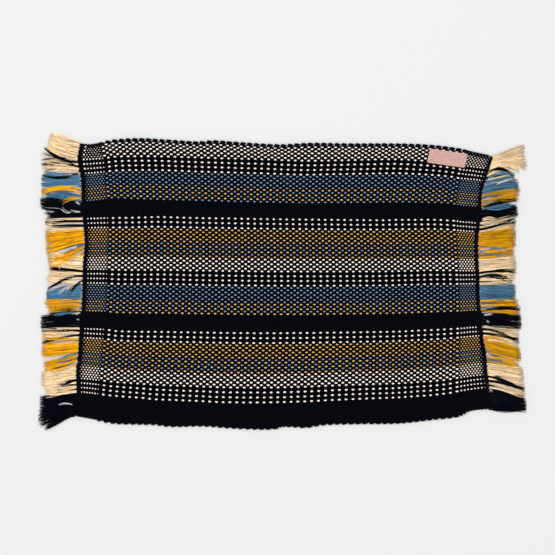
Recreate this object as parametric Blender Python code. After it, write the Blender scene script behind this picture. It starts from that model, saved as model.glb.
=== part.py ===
"""A hand-woven cotton placemat, lying flat, its warp cut to a fringe at both ends.

Sizes are in millimetres and become metres when a mesh is made. +X runs along the warp and +Z is up.
The origin is on the table, under the middle of the whole mat with its fringes.
"""

from collections import namedtuple

import bmesh
import bpy
from mathutils import Vector

MM = 0.001

# Driving dimensions
THICK = 3.0  # the cloth and its two headers
RIM_EASE = 0.7  # the soft edge all round the cloth
HEADER = 4.0  # the close-beaten band at each end, which holds the fringe
GAP = 0.3  # between neighbouring pieces
SIDE_STEP = 8.0  # between the points of the cloth's outline
LABEL_LONG = 44.0
LABEL_WIDE = 16.3
LABEL_THICK = 1.0
LABEL_CORNER = 2.0
LABEL_PLACE = (191.8, 143.4)
LABEL_TURN = -0.140  # radians, its right end lower
LABEL_SKEW = 0.09  # sewn on out of square: its top lies this share of its height to the right

# A strand is one warp end. Its width is a share of the space that it has at its root and its tip.
ROOT_SHARE = 0.76
TIP_SHARE = 0.7
TIP_WIDEST = 1.9
REST_HIGH = 1.8  # once it lies on the table
TIP_HIGH = 1.2
STRAND_STEPS = (0.16, 0.42, 0.72, 1.0)  # where along its length it is shaped
TOP_SHARE = 0.7  # its top is narrower than its foot

# The cloth's outline, smoothed through these rows
Point = namedtuple("Point", "x y")
TOP_EDGE = [
    Point(-235.0, 161.2),
    Point(-223.0, 160.3),
    Point(-211.0, 162.4),
    Point(-198.0, 165.4),
    Point(-168.0, 167.2),
    Point(-135.0, 165.6),
    Point(-99.0, 163.4),
    Point(-80.0, 164.7),
    Point(-60.0, 163.3),
    Point(-3.0, 160.0),
    Point(32.0, 161.7),
    Point(80.0, 161.1),
    Point(136.0, 161.0),
    Point(174.0, 159.3),
    Point(206.0, 155.3),
    Point(221.0, 151.7),
    Point(245.5, 146.4),
]
BOTTOM_EDGE = [
    Point(-244.0, -156.3),
    Point(-219.0, -160.7),
    Point(-209.0, -163.5),
    Point(-194.0, -165.8),
    Point(-148.0, -167.2),
    Point(-132.0, -169.2),
    Point(-92.0, -168.8),
    Point(-58.0, -171.2),
    Point(-14.0, -172.4),
    Point(5.0, -169.4),
    Point(27.0, -170.4),
    Point(48.0, -167.3),
    Point(91.0, -166.0),
    Point(137.0, -165.3),
    Point(175.0, -161.1),
    Point(205.0, -157.4),
    Point(219.0, -150.8),
    Point(242.0, -148.3),
]
LEFT_EDGE = [
    Point(-244.0, -156.3),
    Point(-240.0, -140.0),
    Point(-239.8, -101.0),
    Point(-237.6, -84.0),
    Point(-236.0, -55.0),
    Point(-233.2, -25.0),
    Point(-232.0, 18.0),
    Point(-229.9, 48.0),
    Point(-233.0, 80.0),
    Point(-234.4, 118.0),
    Point(-238.4, 142.0),
    Point(-235.0, 161.2),
]
RIGHT_EDGE = [
    Point(242.0, -148.3),
    Point(241.5, -129.0),
    Point(238.7, -108.0),
    Point(237.2, -86.0),
    Point(233.6, -64.0),
    Point(229.9, -24.0),
    Point(228.8, 10.0),
    Point(227.8, 44.0),
    Point(231.2, 82.0),
    Point(232.8, 105.0),
    Point(237.3, 120.0),
    Point(242.0, 136.0),
    Point(245.5, 146.4),
]

# The warp from top to bottom: how often each run of coloured ends is repeated
Stripe = namedtuple("Stripe", "times ends")
STRIPES = [
    Stripe(8, ["cream"]),
    Stripe(3, ["navy", "cream"]),
    Stripe(6, ["blue"]),
    Stripe(3, ["mustard", "blue"]),
    Stripe(7, ["navy"]),
    Stripe(2, ["cream", "navy"]),
    Stripe(1, ["cream"]),
    Stripe(6, ["mustard"]),
    Stripe(3, ["blue", "mustard"]),
    Stripe(6, ["cream"]),
    Stripe(3, ["navy", "cream"]),
    Stripe(6, ["blue"]),
    Stripe(3, ["blue", "mustard"]),
    Stripe(7, ["navy"]),
    Stripe(2, ["cream", "navy"]),
    Stripe(1, ["cream"]),
    Stripe(6, ["mustard"]),
    Stripe(3, ["blue", "mustard"]),
    Stripe(6, ["cream"]),
    Stripe(3, ["navy", "cream"]),
    Stripe(10, ["navy"]),
]
WARP = [colour for stripe in STRIPES for colour in stripe.ends * stripe.times]

# Where some of the warp ends meet the two ends of the cloth; the others lie evenly between them
Level = namedtuple("Level", "end left_y right_y")
LEVELS = [
    Level(-0.5, 160.6, 145.9),
    Level(7.5, 141.6, 130.8),
    Level(33, 73.4, 68.4),
    Level(81, -54.4, -52.8),
    Level(109, -128.6, -122.8),
    Level(119.5, -155.4, -147.6),
]

# Each lock of the fringe, from the top: its last warp end, then how far from the mat's middle and at
# what height its first and last tips lie
Lock = namedtuple("Lock", "last first_out first_y last_out last_y")
LEFT_LOCKS = [
    Lock(7, 270.2, 171.6, 274.2, 153.4),
    Lock(13, 280.8, 150.1, 279.4, 128.3),
    Lock(19, 280.4, 123.8, 280.4, 110.7),
    Lock(22, 280.0, 107.2, 279.3, 102.3),
    Lock(25, 276.6, 100.0, 274.2, 96.1),
    Lock(29, 281.8, 93.5, 281.6, 86.7),
    Lock(32, 280.0, 83.0, 273.8, 76.5),
    Lock(37, 276.3, 72.3, 276.3, 58.4),
    Lock(43, 276.0, 54.3, 275.3, 39.2),
    Lock(49, 274.2, 36.2, 272.4, 27.8),
    Lock(55, 271.3, 25.7, 270.1, 16.6),
    Lock(61, 271.4, 13.8, 275.3, -2.3),
    Lock(67, 274.4, -6.2, 274.4, -18.8),
    Lock(73, 277.7, -22.8, 273.6, -35.4),
    Lock(80, 280.6, -39.1, 281.2, -52.8),
    Lock(85, 280.0, -55.4, 280.0, -65.2),
    Lock(91, 279.8, -68.7, 280.0, -86.6),
    Lock(97, 278.3, -90.1, 277.1, -103.6),
    Lock(103, 280.4, -106.9, 280.4, -121.1),
    Lock(109, 278.8, -124.1, 275.3, -133.7),
    Lock(114, 279.4, -136.7, 282.9, -147.7),
    Lock(119, 284.0, -153.0, 273.0, -171.6),
]
RIGHT_LOCKS = [
    Lock(7, 281.3, 158.3, 273.9, 128.9),
    Lock(13, 268.1, 126.1, 270.5, 117.7),
    Lock(19, 273.1, 115.9, 275.5, 107.7),
    Lock(25, 276.3, 105.1, 274.5, 94.2),
    Lock(32, 272.9, 91.4, 274.1, 79.5),
    Lock(37, 272.2, 76.9, 270.8, 66.9),
    Lock(43, 271.5, 63.7, 272.0, 50.2),
    Lock(49, 270.3, 46.7, 269.6, 32.7),
    Lock(55, 271.0, 29.2, 272.2, 16.4),
    Lock(61, 272.2, 13.1, 268.5, -0.4),
    Lock(67, 271.5, -4.4, 271.3, -18.1),
    Lock(73, 274.1, -20.7, 276.2, -34.9),
    Lock(80, 276.9, -38.2, 278.5, -51.7),
    Lock(85, 275.9, -54.0, 274.8, -65.2),
    Lock(91, 275.5, -68.4, 278.0, -85.5),
    Lock(97, 277.3, -87.8, 273.4, -98.5),
    Lock(103, 279.2, -101.3, 281.5, -115.0),
    Lock(109, 281.8, -117.4, 282.7, -132.8),
    Lock(115, 281.8, -135.8, 284.0, -144.8),
    Lock(119, 283.6, -146.6, 277.6, -151.6),
]

COLOURS = {  # linear RGB
    "weft": (0.009, 0.011, 0.024),
    "cream": (0.90, 0.72, 0.47),
    "navy": (0.006, 0.009, 0.026),
    "blue": (0.085, 0.245, 0.415),
    "mustard": (0.83, 0.41, 0.025),
    "label": (0.89, 0.63, 0.58),
}
YARNS = ["weft", "cream", "navy", "blue", "mustard"]


def clear_scene():
    for thing in list(bpy.data.objects):
        bpy.data.objects.remove(thing)


def fabric(name, colour, roughness=0.95):
    material = bpy.data.materials.new(name)
    material.use_nodes = True
    shader = material.node_tree.nodes["Principled BSDF"]
    shader.inputs["Base Color"].default_value = (*COLOURS[colour], 1.0)
    shader.inputs["Roughness"].default_value = roughness
    shader.inputs["Metallic"].default_value = 0.0
    return material


def between(rows, at, column, along=0):
    """A smooth value of one column of a table, where its sorted column `along` equals `at`."""
    last = len(rows) - 1
    i = 0
    while i < last - 1 and rows[i + 1][along] < at:
        i += 1
    start, end = rows[i], rows[i + 1]
    before, after = rows[max(i - 1, 0)], rows[min(i + 2, last)]
    span = end[along] - start[along]
    rise_in = (end[column] - before[column]) / (end[along] - before[along]) * span
    rise_out = (after[column] - start[column]) / (after[along] - start[along]) * span
    t = min(max((at - start[along]) / span, 0.0), 1.0)
    return (
        (2 * t**3 - 3 * t**2 + 1) * start[column]
        + (t**3 - 2 * t**2 + t) * rise_in
        + (3 * t**2 - 2 * t**3) * end[column]
        + (t**3 - t**2) * rise_out
    )


def top_y(x):
    return between(TOP_EDGE, x, 1)


def bottom_y(x):
    return between(BOTTOM_EDGE, x, 1)


def end_x(side, y):
    """The cloth's outer edge, header included: side is -1 at the left and 1 at the right."""
    return between(LEFT_EDGE if side < 0 else RIGHT_EDGE, y, 0, along=1)


def spread(start, stop, step):
    """Values from start to stop, both included, about a step apart."""
    count = max(round(abs(stop - start) / step), 1)
    return [start + (stop - start) * i / count for i in range(count + 1)]


def warp_y(end, side):
    """The height at which a warp end leaves the cloth."""
    column = 1 if side < 0 else 2
    for low, high in zip(LEVELS, LEVELS[1:]):
        if end <= high.end:
            share = (end - low.end) / (high.end - low.end)
            return low[column] + share * (high[column] - low[column])
    return LEVELS[-1][column]


def new_object(name, bm, materials):
    """Closes the work on a mesh, in millimetres until here, and makes it an object."""
    bmesh.ops.scale(bm, vec=(MM, MM, MM), verts=bm.verts)
    bmesh.ops.recalc_face_normals(bm, faces=bm.faces)
    mesh = bpy.data.meshes.new(name)
    bm.to_mesh(mesh)
    bm.free()
    for material in materials:
        mesh.materials.append(material)
    thing = bpy.data.objects.new(name, mesh)
    bpy.context.scene.collection.objects.link(thing)
    return thing


def raise_faces(bm, faces, height):
    made = bmesh.ops.extrude_face_region(bm, geom=faces)["geom"]
    risen = [part for part in made if isinstance(part, bmesh.types.BMVert)]
    bmesh.ops.translate(bm, verts=risen, vec=(0, 0, height))


def cloth_outline():
    """The cloth inside its two headers, anticlockwise."""
    inset = HEADER + GAP
    left_low = end_x(-1, LEFT_EDGE[0].y) + inset
    left_high = end_x(-1, LEFT_EDGE[-1].y) + inset
    right_low = end_x(1, RIGHT_EDGE[0].y) - inset
    right_high = end_x(1, RIGHT_EDGE[-1].y) - inset
    outline = [(x, bottom_y(x)) for x in spread(left_low, right_low, SIDE_STEP)]
    right = spread(bottom_y(right_low), top_y(right_high), SIDE_STEP)
    outline += [(end_x(1, y) - inset, y) for y in right[1:-1]]
    outline += [(x, top_y(x)) for x in spread(right_high, left_high, SIDE_STEP)]
    left = spread(top_y(left_high), bottom_y(left_low), SIDE_STEP)
    outline += [(end_x(-1, y) + inset, y) for y in left[1:-1]]
    return outline


def make_cloth():
    bm = bmesh.new()
    rim = [bm.verts.new((x, y, 0)) for x, y in cloth_outline()]
    raise_faces(bm, [bm.faces.new(rim)], THICK)
    rims = [e for e in bm.edges if e.verts[0].co.z == e.verts[1].co.z]
    bmesh.ops.bevel(bm, geom=rims, offset=RIM_EASE, segments=1, affect="EDGES")
    wide = [f for f in bm.faces if len(f.verts) > 4]
    bmesh.ops.triangulate(bm, faces=wide, ngon_method="BEAUTY")
    return new_object("mat_cloth", bm, [fabric("woven_cloth", "weft")])


def strand_roots(side):
    """For each warp end, the lowest and highest y of its root on the header."""
    roots = []
    for end in range(len(WARP)):
        pitch = warp_y(end - 0.5, side) - warp_y(end + 0.5, side)
        middle = warp_y(end, side)
        half = 0.5 * ROOT_SHARE * pitch
        roots.append((middle - half, middle + half))
    return roots


def strand_tips(side):
    """The tip of each warp end, as a point on the table."""
    tips = []
    for lock in LEFT_LOCKS if side < 0 else RIGHT_LOCKS:
        count = lock.last + 1 - len(tips)
        for i in range(count):
            share = i / (count - 1)
            out = lock.first_out + share * (lock.last_out - lock.first_out)
            y = lock.first_y + share * (lock.last_y - lock.first_y)
            tips.append(Vector((side * out, y, 0)))
    return tips


def bend(root, tip, side, t):
    """A point on a strand's middle line, which leaves the header square and swings to its tip."""
    reach = (tip - root).length / 3
    lean = root + Vector((side * reach, 0, 0))
    aim = tip - (tip - root) / 3
    u = 1 - t
    return u**3 * root + 3 * u * u * t * lean + 3 * u * t * t * aim + t**3 * tip


def shape_ring(verts, place, along, wide, high):
    """Sets four points as a strand's section: a flat foot on the table and a narrower top."""
    across = Vector((-along.y, along.x, 0)).normalized()
    middle = sum((v.co for v in verts), Vector()) / len(verts)
    for v in verts:
        upper = v.co.z > middle.z
        way = 1 if (v.co - middle).dot(across) > 0 else -1
        half = 0.5 * wide * (TOP_SHARE if upper else 1)
        v.co = place + across * way * half
        v.co.z = high if upper else 0


def tip_width(tips, end, root):
    """A tip's width, from the room that the tips beside it leave, square to the strand."""
    along = tips[end] - root
    across = Vector((-along.y, along.x, 0)).normalized()
    beside = tips[max(end - 1, 0) : end] + tips[end + 1 : end + 2]
    room = min(abs((tip - tips[end]).dot(across)) for tip in beside)
    return min(TIP_SHARE * room, TIP_WIDEST)


def grow_strand(bm, face, side, tips, end):
    """Extrudes one root of the header out to the strand's tip and returns its faces."""
    wide = max(v.co.y for v in face.verts) - min(v.co.y for v in face.verts)
    root = face.calc_center_median()
    root.z = 0
    tip = tips[end]
    tip_wide = tip_width(tips, end, root)
    before = set(bm.faces) - {face}
    for t in STRAND_STEPS:
        face = bmesh.ops.extrude_discrete_faces(bm, faces=[face])["faces"][0]
        place = bend(root, tip, side, t)
        along = place - bend(root, tip, side, t - 0.05)
        width = wide + (tip_wide - wide) * t
        height = REST_HIGH + (TIP_HIGH - REST_HIGH) * t
        shape_ring(face.verts, place, along, width, height)
    return [f for f in bm.faces if f not in before]


def make_fringe(name, side):
    """One header and the strands that are fused into it."""
    edge = LEFT_EDGE if side < 0 else RIGHT_EDGE
    roots = [y for low, high in strand_roots(side) for y in (high, low)]
    heights = [edge[-1].y, *roots, edge[0].y]
    bm = bmesh.new()
    outer = [bm.verts.new((end_x(side, y), y, 0)) for y in heights]
    inner = []
    for y in heights:
        x = end_x(side, y) - side * HEADER
        inner.append(bm.verts.new((x, min(max(y, bottom_y(x)), top_y(x)), 0)))
    spans = range(len(heights) - 1)
    raise_faces(
        bm,
        [bm.faces.new((outer[i], outer[i + 1], inner[i + 1], inner[i])) for i in spans],
        THICK,
    )
    bmesh.ops.recalc_face_normals(bm, faces=bm.faces)
    walls = []
    for i in range(1, len(heights) - 1, 2):
        foot = bm.edges.get((outer[i], outer[i + 1]))
        walls.append(next(f for f in foot.link_faces if abs(f.normal.z) < 0.5))
    tips = strand_tips(side)
    for end, wall in enumerate(walls):
        for face in grow_strand(bm, wall, side, tips, end):
            face.material_index = YARNS.index(WARP[end])
    return new_object(name, bm, [fabric(f"{name}_{yarn}", yarn) for yarn in YARNS])


def make_label():
    bm = bmesh.new()
    half_long, half_wide = LABEL_LONG / 2, LABEL_WIDE / 2
    corners = [(-1, -1), (1, -1), (1, 1), (-1, 1)]
    rim = [(a * half_long + b * half_wide * LABEL_SKEW, b * half_wide, 0) for a, b in corners]
    bm.faces.new([bm.verts.new(place) for place in rim])
    corner = {"offset": LABEL_CORNER, "segments": 4, "profile": 0.5}
    bmesh.ops.bevel(bm, geom=bm.verts[:], affect="VERTICES", **corner)
    raise_faces(bm, bm.faces[:], LABEL_THICK)
    label = new_object("label", bm, [fabric("label_tape", "label", roughness=0.8)])
    label.location = Vector((*LABEL_PLACE, THICK + GAP)) * MM
    label.rotation_euler.z = LABEL_TURN
    return label


clear_scene()
make_cloth()
make_fringe("fringe_left", -1)
make_fringe("fringe_right", 1)
make_label()
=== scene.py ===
import math
from collections import namedtuple

import bpy
import numpy as np
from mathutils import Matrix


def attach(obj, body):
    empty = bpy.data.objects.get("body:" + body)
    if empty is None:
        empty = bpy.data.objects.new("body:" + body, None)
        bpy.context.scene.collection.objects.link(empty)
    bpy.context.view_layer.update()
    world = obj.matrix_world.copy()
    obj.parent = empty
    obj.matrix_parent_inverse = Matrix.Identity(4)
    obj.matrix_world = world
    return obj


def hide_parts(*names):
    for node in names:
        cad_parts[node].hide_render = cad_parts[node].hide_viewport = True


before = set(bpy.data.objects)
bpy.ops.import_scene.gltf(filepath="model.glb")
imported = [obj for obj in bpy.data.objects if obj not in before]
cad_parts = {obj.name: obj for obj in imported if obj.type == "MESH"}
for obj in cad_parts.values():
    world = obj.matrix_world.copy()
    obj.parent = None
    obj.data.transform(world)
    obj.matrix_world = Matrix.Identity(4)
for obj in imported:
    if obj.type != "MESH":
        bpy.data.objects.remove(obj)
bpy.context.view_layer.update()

mm = 0.001  # sizes are in millimetres until they go into a mesh
twoPi = 2 * math.pi
print("frame loaded")


# Colours and nodes


def srgb(hexColour):
    # an sRGB hex value as linear RGBA
    channels = [int(hexColour[i : i + 2], 16) / 255 for i in (1, 3, 5)]
    linear = [c / 12.92 if c <= 0.04045 else ((c + 0.055) / 1.055) ** 2.4 for c in channels]
    return (*linear, 1.0)


def addNode(tree, kind, settings=None, links=None):
    node = tree.nodes.new(kind)
    for name, value in (settings or {}).items():
        if isinstance(name, str) and hasattr(node, name):
            setattr(node, name, value)
        else:
            node.inputs[name].default_value = value
    for name, source in (links or {}).items():
        tree.links.new(source, node.inputs[name])
    return node


def newMaterial(name, roughness, sheen=0.0, gloss=0.25):
    material = bpy.data.materials.new(name)
    material.use_nodes = True
    shader = material.node_tree.nodes["Principled BSDF"]
    shader.inputs["Roughness"].default_value = roughness
    shader.inputs["IOR"].default_value = 1.5  # cellulose, about 1.5
    shader.inputs["Specular IOR Level"].default_value = gloss  # loose fibres scatter most of it
    shader.inputs["Sheen Weight"].default_value = sheen
    shader.inputs["Sheen Roughness"].default_value = 0.5
    return material, material.node_tree, shader


yarnKinds = {
    # one turn of the yarn in mm, its plies, how much darker its grooves are painted as shade, and how
    # much darker its fibres and single yarns may be
    "warp": {"twist": 5.0, "plies": 2, "grooveShade": 0.16, "fibre": 0.20, "single": 0.12},
    "weft": {"twist": 7.0, "plies": 2, "grooveShade": 0.16, "fibre": 0.22, "single": 0.14},
    # cut ends whose plies have opened: fine fibres with hardly any twist
    "fringe": {"twist": 40.0, "plies": 1, "grooveShade": 0.08, "fibre": 0.38, "single": 0.56},
}
fibres = {
    "long": 2.6,  # a streak of them along the yarn
    "around": 7.0,  # streaks round it
    "apart": 53.0,  # keeps the streaks of two yarns from being the same
    "noise": {"Scale": 1.6, "Detail": 3.0, "Roughness": 0.6},
    "bump": 0.22,
}


def reckon(tree, operation, *terms):
    # a math node, whose terms are numbers or the outputs of other nodes
    numbers = {i: term for i, term in enumerate(terms) if isinstance(term, float)}
    sources = {i: term for i, term in enumerate(terms) if i not in numbers}
    return addNode(tree, "ShaderNodeMath", {"operation": operation, **numbers}, sources).outputs[0]


def addBump(tree, shader, height, strength, distance):
    relief = {"Strength": strength, "Distance": distance * mm}
    bump = addNode(tree, "ShaderNodeBump", relief, {"Height": height})
    tree.links.new(bump.outputs["Normal"], shader.inputs["Normal"])


def addRamp(tree, shader, source, dark, light, start=0.0):
    # the shader's colour goes from dark, where the source is at start, to light
    tone = addNode(tree, "ShaderNodeValToRGB", links={"Fac": source})
    low, high = tone.color_ramp.elements
    low.position = start
    low.color = srgb(dark)
    high.color = srgb(light)
    tree.links.new(tone.outputs["Color"], shader.inputs["Base Color"])


def cottonYarn(name, kind, colour, sheen, gloss):
    # Dyed cotton: matte and soft, plies that wind round each other with painted shade in the grooves
    # between them, and fibres that follow them
    facts = yarnKinds[kind]
    material, tree, shader = newMaterial(name, 0.92, sheen, gloss)
    place = addNode(tree, "ShaderNodeUVMap", {"uv_map": "yarn"})
    split = addNode(tree, "ShaderNodeSeparateXYZ", links={"Vector": place.outputs["UV"]})
    along, around = split.outputs["X"], split.outputs["Y"]
    tint = addNode(tree, "ShaderNodeAttribute", {"attribute_name": "tint"}).outputs["Fac"]
    turn = reckon(tree, "MULTIPLY_ADD", along, 1 / facts["twist"], around)
    ridge = reckon(tree, "COSINE", reckon(tree, "MULTIPLY", turn, twoPi * facts["plies"]))
    streaks = addNode(tree, "ShaderNodeCombineXYZ", links={
        "X": reckon(tree, "MULTIPLY", along, 1 / fibres["long"]),
        "Y": reckon(tree, "MULTIPLY", turn, fibres["around"]),
        "Z": reckon(tree, "MULTIPLY", tint, fibres["apart"]),
    })
    noise = addNode(tree, "ShaderNodeTexNoise", fibres["noise"], {"Vector": streaks.outputs[0]})
    fibre = noise.outputs["Fac"]
    darkest = 1 - (facts["single"] + facts["fibre"]) / 2
    byTint = reckon(tree, "MULTIPLY_ADD", tint, facts["single"], darkest)
    byFibre = reckon(tree, "MULTIPLY_ADD", fibre, facts["fibre"], byTint)
    # painted shade: the colour is darker in the grooves between the plies
    value = reckon(tree, "MULTIPLY_ADD", ridge, facts["grooveShade"] / 2, byFibre)
    shaded = addNode(tree, "ShaderNodeHueSaturation", {"Color": srgb(colour)}, {"Value": value})
    tree.links.new(shaded.outputs["Color"], shader.inputs["Base Color"])
    addBump(tree, shader, reckon(tree, "MULTIPLY_ADD", ridge, 0.5, fibre), 0.7, fibres["bump"])
    return material


yarnDyes = {
    # the navy is dyed so deep that it hardly glints; the blue and the mustard are spun a little finer
    "cream": {"warp": "#FDEEDF", "fringe": "#FFE4B8", "sheen": 0.18, "gloss": 0.20, "thick": 1.0},
    "navy": {"warp": "#05060C", "fringe": "#0A0C17", "sheen": 0.0, "gloss": 0.04, "thick": 1.0},
    "blue": {"warp": "#7C8EA8", "fringe": "#5288A8", "sheen": 0.10, "gloss": 0.12, "thick": 0.88},
    "mustard": {"warp": "#DBAD62", "fringe": "#F2B30A", "sheen": 0.04, "gloss": 0.06, "thick": 0.92},
}
colourNames = list(yarnDyes)
fringeColours = [*colourNames, "pale"]
warpYarns, fringeYarns = [
    [
        cottonYarn(f"cotton_{kind}_{name}", kind, dye[kind], dye["sheen"], dye["gloss"])
        for name, dye in yarnDyes.items()
    ]
    for kind in ("warp", "fringe")
]
weftYarn = cottonYarn("cotton_weft_navy", "weft", "#05060D", 0.0, 0.04)
paleFluff = cottonYarn("cotton_fluff_pale", "fringe", "#D6CCD8", 0.2, 0.2)  # a pale, greyish lilac
print("yarn materials made")


# The cloth's plan

cloth = {
    # the outline, the same rows as the solid has: x and y
    "topEdge": [
        (-235, 161.2), (-223, 160.3), (-211, 162.4), (-198, 165.4), (-168, 167.2), (-135, 165.6),
        (-99, 163.4), (-80, 164.7), (-60, 163.3), (-3, 160), (32, 161.7), (80, 161.1), (136, 161),
        (174, 159.3), (206, 155.3), (221, 151.7), (245.5, 146.4),
    ],
    "bottomEdge": [
        (-244, -156.3), (-219, -160.7), (-209, -163.5), (-194, -165.8), (-148, -167.2), (-132, -169.2),
        (-92, -168.8), (-58, -171.2), (-14, -172.4), (5, -169.4), (27, -170.4), (48, -167.3), (91, -166),
        (137, -165.3), (175, -161.1), (205, -157.4), (219, -150.8), (242, -148.3),
    ],
    "leftEdge": [
        (-244, -156.3), (-240, -140), (-239.8, -101), (-237.6, -84), (-236, -55), (-233.2, -25), (-232, 18),
        (-229.9, 48), (-233, 80), (-234.4, 118), (-238.4, 142), (-235, 161.2),
    ],
    "rightEdge": [
        (242, -148.3), (241.5, -129), (238.7, -108), (237.2, -86), (233.6, -64), (229.9, -24), (228.8, 10),
        (227.8, 44), (231.2, 82), (232.8, 105), (237.3, 120), (242, 136), (245.5, 146.4),
    ],
    # where the coarse weave starts and stops between the two close bands: x and y
    "coarseStart": [
        (-217.5, -165), (-213.6, -125), (-211.3, -100), (-207.5, -60), (-203.9, 0), (-202.4, 70),
        (-206.6, 128), (-207.5, 139), (-211, 158),
    ],
    "coarseStop": [
        (206, -150), (205.2, -126), (205.8, -55), (205, 0), (203, 40), (201.2, 70), (201.8, 90),
        (203.8, 104), (206.3, 121), (208.5, 131), (213, 152),
    ],
    # how wide the closest-beaten picks at each end lie: y and width
    "leftHeader": [(-156, 3.9), (-100, 3.7), (0, 3.5), (70, 3.1), (110, 3.9), (137, 4.5)],
    "rightHeader": [(-148, 3.9), (80, 3.9), (110, 3), (125, 2.4), (146, 2.2)],
    # how six warp ends run: x, then the heights of ends 7, 13, 25, 33, 81 and 109
    "levelEnds": [7, 13, 25, 33, 81, 109],
    "levels": [
        (-240, 142, 125.3, 94, 72.8, -54.3, -127.9), (-222, 142.5, 126.5, 94.8, 73.4, -55.1, -129.5),
        (-206, 143.8, 127.9, 96.8, 73.9, -55.8, -131.7), (-195, 145.3, 129.3, 98.1, 74.1, -57.4, -132.9),
        (-170, 145.9, 129.8, 96.8, 74.4, -58.3, -134.8), (-145, 145.8, 129.8, 96.2, 75.1, -58.5, -136.9),
        (-100, 144.5, 128.2, 94.9, 74, -59.2, -138.7), (-72, 143.6, 127.3, 94, 73.6, -59.6, -140.1),
        (-24, 142.4, 126, 93, 72.8, -60, -140.6), (23, 140.7, 124.4, 92.2, 72.2, -59.8, -139.4),
        (64, 141.1, 125, 92.2, 71.8, -59.3, -137.4), (110, 142.1, 125.8, 92.7, 71.4, -58.6, -135.6),
        (135, 142.3, 126, 93, 71.8, -58.1, -134.7), (160, 140.9, 125, 92.7, 71.9, -56.9, -132.9),
        (176, 139.8, 124, 92.3, 71.9, -56.2, -131.8), (196, 137.7, 122.1, 91.4, 71, -55.2, -129.2),
        (206, 135.9, 120.4, 89.7, 69.9, -54.6, -127.2), (222, 133.7, 118.9, 88.3, 68.5, -53.2, -124.6),
        (232, 132.4, 117.8, 87.2, 67.4, -52.7, -123.4), (245, 131, 116.3, 86, 66.4, -52.2, -122.4),
    ],
    # how far the first end lies inside the top edge: x and depth
    "topDepth": [(-240, 1.6), (-206, 2), (-190, 3), (245, 3.2)],
    "bottomDepth": 2.0,
    "crowded": 0.8,  # the first ends lie this much closer together than those further in
    # how far the picks stray to the right at the lower edge: x and shift
    "stray": [
        (-240, 0), (-70, 0), (-30, 0.8), (25, 1.5), (90, 3.3), (122, 3.2), (150, 1), (178, 0), (245, 0),
    ],
    "strayFrom": 60.0,  # y where that starts, going down
    "roughTop": 165.0,  # y of the first end and the room of each, for a first guess
    "roughPitch": 2.75,
}

# the warp from top to bottom: how often each run of coloured ends is repeated
stripes = [
    (8, ["cream"]), (3, ["navy", "cream"]), (6, ["blue"]), (3, ["mustard", "blue"]), (7, ["navy"]),
    (2, ["cream", "navy"]), (1, ["cream"]), (6, ["mustard"]), (3, ["blue", "mustard"]), (6, ["cream"]),
    (3, ["navy", "cream"]), (6, ["blue"]), (3, ["blue", "mustard"]), (7, ["navy"]), (2, ["cream", "navy"]),
    (1, ["cream"]), (6, ["mustard"]), (3, ["blue", "mustard"]), (6, ["cream"]), (3, ["navy", "cream"]),
    (10, ["navy"]),
]
warp = [colour for times, ends in stripes for colour in ends * times]
endCount = len(warp)

weave = {
    "leftBand": 14,  # picks of thin weft at the left
    "coarse": 108,  # picks of thick weft between the bands
    "rightBand": 16,
    "leastPitch": 1.69,  # of its picks
    "crowd": 0.08,
    "headerPicks": 5,  # in each header
    "middleHigh": 1.5,  # half of the cloth's thickness
    # the yarns in the coarse weave and in the bands, with how far a float stands off the middle
    "warp": {"wide": 0.68, "high": 1.05, "rise": 0.88},  # the width is a share of the end's room
    "bandWarp": {"wide": 0.58, "high": 0.95, "rise": 0.74},
    # the weft swells where it lies over an end and narrows where it dives
    "weft": {"wide": 3.75, "high": 1.2, "rise": 0.6, "swell": 0.40},
    "bandWeft": {"wide": 1.85, "high": 1.0, "rise": 0.5, "swell": 0.50},
    # an end's rings over a coarse pick: how far aside of its middle, and how high and wide there
    "warpRings": [(-0.25, 0.62, 0.84), (0.0, 1.0, 1.0), (0.25, 0.62, 0.84)],
    "bandWarpRings": [-0.16, 0.16],
    "headerRings": [-4.3, -2.4, -0.7],  # and inside a header
    "headerShare": 0.7,
    "warpJitter": {"up": 0.03, "aside": 0.05},
    # it sinks in where the picks crowd under the right header
    "sink": {"over": 1.2, "from": 0.2, "least": 0.3},
    "weftRing": 0.25,  # a pick's rings lie this far to each side of an end
    "turn": {"wide": 3.3, "room": 0.95, "lift": 0.2, "thicker": 0.1},  # the weft where it turns
    "tucked": 0.7,  # a yarn's own ends stop this far inside the edge
    "seamShare": 0.72,  # how much the floats of a band's pick beside the coarse weave stand out
    "headerShares": [0.45, 0.75, 0.9],  # the same for its picks nearest to the header
    "firstDots": {"ends": 12, "pick": 1, "share": 1.3},  # beside the left header one column stands out
    "coveredShare": 0.35,  # in the bands the turns hide the second end
    "deepEnds": {"ends": 7, "left": 0.64, "right": 0.84},  # in the bands the next ones lie deep too
    "edgeEnd": {"wide": 1.8, "high": 0.8, "low": 1.0},  # the outermost ends lie under the turns
    "uneven": 0.07,  # share by which widths vary
    # how a pick strays sideways, in a long and a short wave
    "wander": {"aside": 0.14, "bandShare": 0.4, "long": 14, "short": 5.3, "shortShare": 0.6},
}


def smoothThrough(rows, at, key=0, value=1):
    # a smooth value of one column of rows, where the rising column key equals at
    keys = np.array([row[key] for row in rows])
    values = np.array([row[value] for row in rows])
    at = np.clip(at, keys[0], keys[-1])
    last = len(keys) - 1
    i = np.clip(np.searchsorted(keys, at) - 1, 0, last - 1)
    before, after = np.maximum(i - 1, 0), np.minimum(i + 2, last)
    span = keys[i + 1] - keys[i]
    riseIn = (values[i + 1] - values[before]) / (keys[i + 1] - keys[before]) * span
    riseOut = (values[after] - values[i]) / (keys[after] - keys[i]) * span
    t = (at - keys[i]) / span
    return (
        (2 * t**3 - 3 * t**2 + 1) * values[i]
        + (t**3 - 2 * t**2 + t) * riseIn
        + (3 * t**2 - 2 * t**3) * values[i + 1]
        + (t**3 - t**2) * riseOut
    )


def topOf(x):
    return smoothThrough(cloth["topEdge"], x)


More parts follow.
